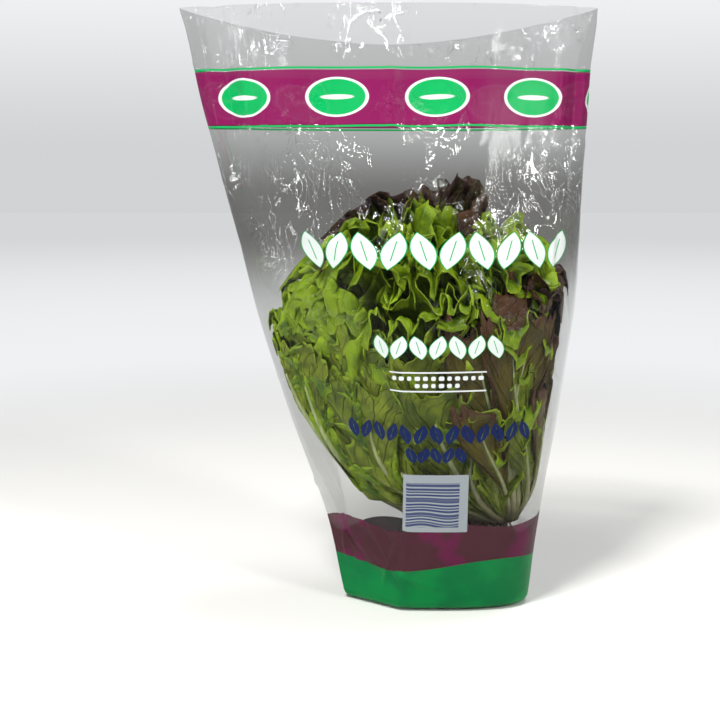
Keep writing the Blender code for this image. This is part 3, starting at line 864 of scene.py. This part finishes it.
def leaf_material(name, fresh, deep, vein, vein_strength, blush=None, blush_from=0.5, painted_inner_shade=0.0):
    """A leaf face: mottled colour, a pale midrib and side veins, fine blisters and a soft sheen, and, when
    asked, painted shade inside the blade with painted light toward its margin.
    """
    paint = Paint(name)
    where = paint.place()
    ray, ring = paint.uv("leaf")
    tone = paint.number("tone")
    to_base = abs(ray * 2 - 1)
    mottle = paint.noise(where, 90, 3)
    # painted shade and light: the blade darkens towards its middle and lightens towards its margin, by the
    # last argument's amount
    to_margin = ring.ramp(0.45, 0.95) - 0.6
    shade = (mottle.ramp(0.38, 0.62) * 0.6 + tone * 0.75 - 0.2 + to_margin * painted_inner_shade).most(0).least(1)
    colour = paint.mix(shade, deep, fresh)
    if blush:
        stain = paint.noise(where, 85, 4).ramp(0.38, 0.62)
        edge = (ring.ramp(blush_from, 1.0) * 0.9 + stain * 0.55 - 0.25 + tone * 0.3).ramp(0.3, 0.8)
        colour = paint.mix(edge * (1 - to_base.ramp(0.75, 0.98)), colour, blush)
    else:
        colour = paint.mix(ring.ramp(0.93, 1.0) * 0.55, colour, MARGIN_GREEN)
    wander = paint.noise(where, 45, 2) * 1.3
    fan = abs((ray * 11 + wander).fraction() - 0.5)
    side_vein = fan.below(0.035, 0.04) * ring.ramp(0.55, 0.98, 1.0, 0.15)
    twig = abs((ray * 26 - ring * 3 + wander * 1.5).fraction() - 0.5)
    branch = twig.below(0.05, 0.06) * ring.ramp(0.2, 0.5)
    net = paint.cells(where, 300).below(0.05, 0.05)
    veins = (side_vein + branch * 0.5 + net * 0.3).least(1)
    colour = paint.mix(veins * vein_strength, colour, vein)
    midrib = ring.ramp(0.02, 0.10, 1.0, 0.0) * to_base.ramp(0.05, 0.5)
    stem = (to_base.ramp(0.88, 0.99) + midrib).least(1)
    colour = paint.mix(stem * 0.8, colour, RIB_GREEN)
    blisters = paint.cells(where, 125, "SMOOTH_F1")
    height = blisters * 2.2 - side_vein * 0.9 - branch * 0.4 + paint.noise(where, 200, 4) * 0.9 - midrib
    normal = paint.bump(height, 1.2 * MM, 0.9)
    shader = paint.principled(
        Base_Color=colour,
        Roughness=mottle.ramp(0.3, 0.7, 0.32, 0.50),
        Specular_IOR_Level=0.20,
        Normal=normal,
        Subsurface_Weight=0.08,
        Subsurface_Radius=(0.6, 1.0, 0.2),
        Subsurface_Scale=0.0015,
    )
    return paint.finish(shader)


MARGIN_GREEN = (0.29, 0.42, 0.02)
RIB_GREEN = (0.24, 0.28, 0.06)
GREEN_BACK = dict(
    fresh=(0.130, 0.195, 0.004), deep=(0.042, 0.076, 0.001), vein=(0.27, 0.35, 0.03), vein_strength=0.35
)
# The green face paints shade inside the blade and light toward its margin
GREEN_FACE = dict(
    fresh=(0.165, 0.262, 0.001),
    deep=(0.030, 0.078, 0.001),
    vein=(0.36, 0.46, 0.03),
    vein_strength=0.4,
    painted_inner_shade=0.6,
)
PALE_BACK = dict(
    fresh=(0.178, 0.226, 0.012), deep=(0.046, 0.070, 0.002), vein=(0.022, 0.038, 0.002), vein_strength=0.7
)
RED_BACK = dict(
    fresh=(0.106, 0.084, 0.004),
    deep=(0.046, 0.038, 0.003),
    vein=(0.038, 0.022, 0.005),
    vein_strength=0.5,
    blush=(0.060, 0.025, 0.010),
    blush_from=0.45,
)
RED_FACE = dict(
    fresh=(0.102, 0.092, 0.004),
    deep=(0.044, 0.042, 0.003),
    vein=(0.22, 0.19, 0.04),
    vein_strength=0.4,
    blush=(0.026, 0.010, 0.011),
    blush_from=0.55,
)
LEAF_PAINTS = {
    "outer_leaves": (PALE_BACK, GREEN_FACE),
    "front_leaves": (dict(PALE_BACK, fresh=(0.158, 0.212, 0.008)), GREEN_FACE),
    "frilled_leaves": (GREEN_BACK, GREEN_FACE),
    "inner_leaves": (GREEN_BACK, dict(GREEN_FACE, fresh=(0.155, 0.250, 0.001))),
    "red_leaves": (RED_BACK, RED_FACE),
}


def add_leaves(kind, leaves, seed, replaced=()):
    """A piece of leaves whose backs and faces have their own materials."""
    faces = zip(("back", "face"), LEAF_PAINTS[kind])
    materials = [leaf_material(f"{kind}_{face}", **colours) for face, colours in faces]
    piece = add_piece(kind, leaves_mesh(kind, leaves, seed), materials, replaced)
    blade = piece.modifiers.new("blade", "SOLIDIFY")
    blade.thickness = LEAF_THICKNESS
    blade.offset = -1
    blade.material_offset = 1


def sweep(bm, points, radii, sides, flat=1.0):
    """A closed tube along these points; flat squashes its section front to back."""
    rings = []
    for k, (point, radius) in enumerate(zip(points, radii)):
        ahead = Vector(points[min(k + 1, len(points) - 1)]) - Vector(points[max(k - 1, 0)])
        turn = ahead.to_track_quat("Z", "Y")
        ring = bmesh.ops.create_circle(bm, segments=sides, radius=radius)["verts"]
        for vertex in ring:
            spot = turn @ Vector(vertex.co)
            vertex.co = Vector(point) + Vector((spot.x, spot.y * flat, spot.z))
        rings.append(ring)
    loops = [list(dict.fromkeys(e for v in ring for e in v.link_edges)) for ring in rings]
    for lower, upper in zip(loops, loops[1:]):
        bmesh.ops.bridge_loops(bm, edges=lower + upper)
    for loop in (loops[0], loops[-1]):
        bmesh.ops.contextual_create(bm, geom=loop)


def stems_mesh(leaves):
    """The thick pale midribs that stand out on the backs of the leaves against the film."""
    bm = bmesh.new()
    t = np.linspace(0.0, 0.74, STEM_POINTS)
    for leaf in leaves:
        place, _ = bezier(leaf.rib, t)
        place = kept_inside(place, leaf.layer + 0.012)
        sweep(bm, place, leaf.width * (0.052 - 0.058 * t), 10, 0.7)
    return smooth_mesh("leaf_stems", bm)


def stem_material():
    paint = Paint("stem")
    where = paint.place()
    fibre = paint.noise(paint.stretched(where, 1.0, 1.0, 0.12), 500, 3)
    colour = paint.mix(fibre.ramp(0.35, 0.65), (0.20, 0.24, 0.09), (0.30, 0.34, 0.15))
    colour = paint.mix(paint.height(where).ramp(0.055, 0.10, 0.4, 0.0), colour, (0.30, 0.20, 0.15))
    normal = paint.bump(fibre, 0.4 * MM, 0.5)
    return paint.finish(paint.principled(Base_Color=colour, Roughness=0.36, Normal=normal))


# ---- root plug


def plug_mesh():
    """A lumpy block of matted roots in the plug's place."""
    bm = bmesh.new()
    bmesh.ops.create_icosphere(bm, subdivisions=6, radius=1)
    rng = random.Random(3)
    bumps = []
    for _ in range(14):
        way = Vector([rng.gauss(0, 1) for _ in range(3)]).normalized()
        bumps.append((way, rng.uniform(6, 30), rng.uniform(0, 6)))
    for vertex in bm.verts:
        n = vertex.co.normalized()
        reach = sum(abs(c) ** 4 for c in n) ** -0.25
        lump = sum(math.sin(pace * n.dot(way) + start) for way, pace, start in bumps) / len(bumps)
        place = n * reach * (0.985 + 0.03 * lump)
        vertex.co = PLUG_MIDDLE + Vector([place[i] * PLUG_HALF[i] for i in range(3)])
    return smooth_mesh("root_mat", bm)


def plug_material():
    paint = Paint("matted_roots")
    where = paint.place()
    strands = paint.noise(paint.stretched(where, 1.0, 1.0, 0.25), 420, 5, 0.7, 1.2)
    damp = paint.noise(where, 45, 3)
    colour = paint.mix(strands.ramp(0.42, 0.6), (0.07, 0.045, 0.035), (0.42, 0.33, 0.27))
    colour = paint.mix(damp.ramp(0.45, 0.65) * 0.5, colour, (0.16, 0.08, 0.075))
    normal = paint.bump(strands, 0.8 * MM, 0.8)
    return paint.finish(paint.principled(Base_Color=colour, Roughness=0.85, Normal=normal))


def root_strands():
    """Loose pale roots that hang and curl over the plug's upper edge and sides."""
    rng = random.Random(8)
    bm = bmesh.new()
    for _ in range(ROOT_COUNT):
        azimuth = rng.gauss(-0.4, 1.4)
        level = rng.uniform(0.1, 1.0)
        points = []
        for _ in range(ROOT_POINTS):
            azimuth += rng.gauss(0.02, 0.09)
            level = min(max(level + rng.gauss(-0.01, 0.05), 0.03), 1.06)
            way = Vector((math.cos(azimuth), math.sin(azimuth), 0))
            reach = (abs(way.x) ** 4 + abs(way.y) ** 4) ** -0.25 * (1.005 + 0.02 * rng.random())
            reach *= 1 - 0.16 * max(0, level - 0.8) / 0.2
            x = PLUG_MIDDLE.x + way.x * reach * PLUG_HALF.x
            y = PLUG_MIDDLE.y + way.y * reach * PLUG_HALF.y
            points.append(Vector((x, y, level * PLUG[1].z + 0.4 * MM)))
        thick = rng.uniform(0.18, 0.42) * MM
        swells = (math.sin(math.pi * (k + 0.5) / ROOT_POINTS) for k in range(ROOT_POINTS))
        sweep(bm, points, [thick * (0.35 + 0.65 * swell) for swell in swells], 4)
    return smooth_mesh("root_strands", bm)


def root_material():
    paint = Paint("pale_roots")
    where = paint.place()
    colour = paint.mix(paint.noise(where, 120, 2), (0.46, 0.36, 0.30), (0.30, 0.17, 0.16))
    return paint.finish(paint.principled(Base_Color=colour, Roughness=0.6))


# ---- stage


def add_light(name, location, target, size, energy, colour=(1, 1, 1)):
    data = bpy.data.lights.new(name, "AREA")
    data.shape = "RECTANGLE"
    data.size, data.size_y = size
    data.energy = energy
    data.color = colour
    lamp = bpy.data.objects.new(name, data)
    lamp.location = location
    lamp.rotation_euler = (Vector(target) - Vector(location)).to_track_quat("-Z", "Y").to_euler()
    bpy.context.scene.collection.objects.link(lamp)


def add_world(scene):
    """A white surround that lights the scene more softly than it looks."""
    paint = Paint("studio", world=True)
    seen = paint.node("ShaderNodeLightPath", output="Is Camera Ray")
    level = paint.height(paint.node("ShaderNodeTexCoord", output="Generated")).ramp(0.0, 0.16, 0.66, 0.92)
    strength = paint.node("ShaderNodeMapRange", inputs={"Value": seen, "To Min": 0.26, "To Max": level})
    inputs = {"Color": (0.97, 0.98, 1.0, 1), "Strength": strength}
    scene.world = paint.finish(paint.node("ShaderNodeBackground", inputs=inputs), "ShaderNodeOutputWorld")


def floor_material(colour):
    """A plain floor that fades to the white surround away from the object."""
    paint = Paint("floor")
    where = paint.place()
    distance = paint.node("ShaderNodeVectorMath", {"operation": "LENGTH"}, {0: where}, output=1)
    away, far = distance.ramp(0.25, 1.0), distance.ramp(0.9, 4.0)
    tint = paint.mix(away, paint.mix(paint.noise(where, 3, 2), colour, (0.74, 0.74, 0.73)), (0.0, 0.0, 0.0))
    glow = paint.mix(away, (0.0, 0.0, 0.0), (0.84, 0.85, 0.86))
    glow = paint.mix(far, glow, (0.64, 0.65, 0.66))
    shader = paint.principled(Base_Color=tint, Roughness=0.9, Emission_Color=glow, Emission_Strength=1.0)
    return paint.finish(shader)


def colour_setting(name, description, colour):
    return bpy.props.FloatVectorProperty(
        name=name, description=description, subtype="COLOR", size=3, default=colour
    )


class SaladSleeveSettings(bpy.types.PropertyGroup):
    """The clear film."""

    film_tint: colour_setting("Film tint", "What the front wall lets through", (0.95, 0.953, 0.95))
    mouth_tint: colour_setting(
        "Mouth tint", "What the front wall lets through at mouth and foot", (0.84, 0.845, 0.84)
    )
    back_tint: colour_setting("Back tint", "What the back wall lets through", (0.76, 0.765, 0.755))
    # The shade tint is painted shade: a darker band of the back wall in place of the shadow behind the top
    # of the salad
    shade_tint: colour_setting(
        "Shade tint", "What the back wall lets through behind the top of the salad", (0.27, 0.265, 0.25)
    )
    film_haze: bpy.props.FloatProperty(
        name="Film haze", description="Gloss that shows even face on", default=0.0, min=0, max=1
    )


class SaladStageSettings(bpy.types.PropertyGroup):
    """Floor colour and the camera's height and distance."""

    floor_colour: colour_setting("Floor", "Colour of the floor", (0.66, 0.66, 0.65))
    camera_height: bpy.props.FloatProperty(
        name="Camera height", description="Above the floor", unit="LENGTH", default=0.255
    )
    camera_distance: bpy.props.FloatProperty(
        name="Camera distance", description="In front", unit="LENGTH", default=0.70
    )


class SALAD_OT_film(bpy.types.Operator):
    """Adds the printed film bag"""

    bl_idname = "salad.film"
    bl_label = "Film bag"

    def execute(self, context):
        material = film_material(context.scene.salad_sleeve)
        add_piece("film_bag", film_mesh(), [material], ("sleeve",))
        return {"FINISHED"}


class SALAD_OT_leaves(bpy.types.Operator):
    """Adds the green and red leaves"""

    bl_idname = "salad.leaves"
    bl_label = "Leaves"

    def execute(self, context):
        rng = random.Random(20)
        kinds = {kind: list(whorl_leaves(whorls, rng)) for kind, whorls in WHORLS.items()}
        for seed, (kind, leaves) in enumerate(kinds.items()):
            add_leaves(kind, leaves, seed, ("salad",))
        stemmed = kinds["outer_leaves"] + kinds["red_leaves"][:STEMMED_RED]
        add_piece("leaf_stems", stems_mesh(stemmed), [stem_material()])
        return {"FINISHED"}


class SALAD_OT_roots(bpy.types.Operator):
    """Adds the root plug and its loose roots"""

    bl_idname = "salad.roots"
    bl_label = "Roots"

    def execute(self, context):
        add_piece("root_mat", plug_mesh(), [plug_material()], ("root_plug",))
        add_piece("root_strands", root_strands(), [root_material()])
        return {"FINISHED"}


class SALAD_OT_stage(bpy.types.Operator):
    """Adds the floor, the lights and the camera"""

    bl_idname = "salad.stage"
    bl_label = "Stage"

    def execute(self, context):
        scene = context.scene
        settings = scene.salad_stage
        bm = bmesh.new()
        bmesh.ops.create_grid(bm, x_segments=1, y_segments=1, size=6)
        bmesh.ops.translate(bm, verts=bm.verts[:], vec=(0, 0, -0.3 * MM))
        floor = bpy.data.objects.new("floor", smooth_mesh("floor", bm))
        scene.collection.objects.link(floor)
        floor.data.materials.append(floor_material(settings.floor_colour))

        add_world(scene)
        add_light("key", (-0.40, -0.70, 1.40), (0, 0, 0.15), (0.26, 0.26), 26, (1.0, 0.98, 0.94))
        add_light("top", (0.35, 0.1, 1.3), (0, 0, 0.2), (0.5, 0.3), 7)
        add_light("left", (-1.05, -0.75, 0.30), (0, 0, 0.12), (0.15, 0.4), 5.5, (0.96, 0.98, 1.0))
        add_light("right", (0.95, -0.95, 0.85), (0, 0, 0.14), (0.2, 0.4), 10, (1.0, 0.99, 0.96))

        data = bpy.data.cameras.new("camera")
        data.sensor_width = 36
        data.lens = CAMERA_LENS
        camera = bpy.data.objects.new("camera", data)
        camera.location = (CAMERA_ASIDE, -settings.camera_distance, settings.camera_height)
        camera.rotation_euler = (math.pi / 2 - CAMERA_DIP, 0, 0)
        scene.collection.objects.link(camera)
        scene.camera = camera
        scene.view_settings.view_transform = "Standard"
        return {"FINISHED"}


class SALAD_PT_panel(bpy.types.Panel):
    """Lists the pieces"""

    bl_label = "Potted salad mix"
    bl_idname = "SALAD_PT_panel"
    bl_space_type = "VIEW_3D"
    bl_region_type = "UI"
    bl_category = "Salad"

    def draw(self, context):
        for settings in (context.scene.salad_sleeve, context.scene.salad_stage):
            for name in settings.__annotations__:
                self.layout.prop(settings, name)
        for name in OPERATORS:
            self.layout.operator(name)


CLASSES = (
    SaladSleeveSettings,
    SaladStageSettings,
    SALAD_OT_film,
    SALAD_OT_leaves,
    SALAD_OT_roots,
    SALAD_OT_stage,
    SALAD_PT_panel,
)
OPERATORS = ("salad.film", "salad.leaves", "salad.roots", "salad.stage")


def register():
    for cls in CLASSES:
        bpy.utils.register_class(cls)
    bpy.types.Scene.salad_sleeve = bpy.props.PointerProperty(type=SaladSleeveSettings)
    bpy.types.Scene.salad_stage = bpy.props.PointerProperty(type=SaladStageSettings)


def unregister():
    del bpy.types.Scene.salad_sleeve
    del bpy.types.Scene.salad_stage
    for cls in reversed(CLASSES):
        bpy.utils.unregister_class(cls)


def main():
    register()
    bpy.ops.salad.film()
    bpy.ops.salad.leaves()
    bpy.ops.salad.roots()
    bpy.ops.salad.stage()


if __name__ == "__main__":
    main()
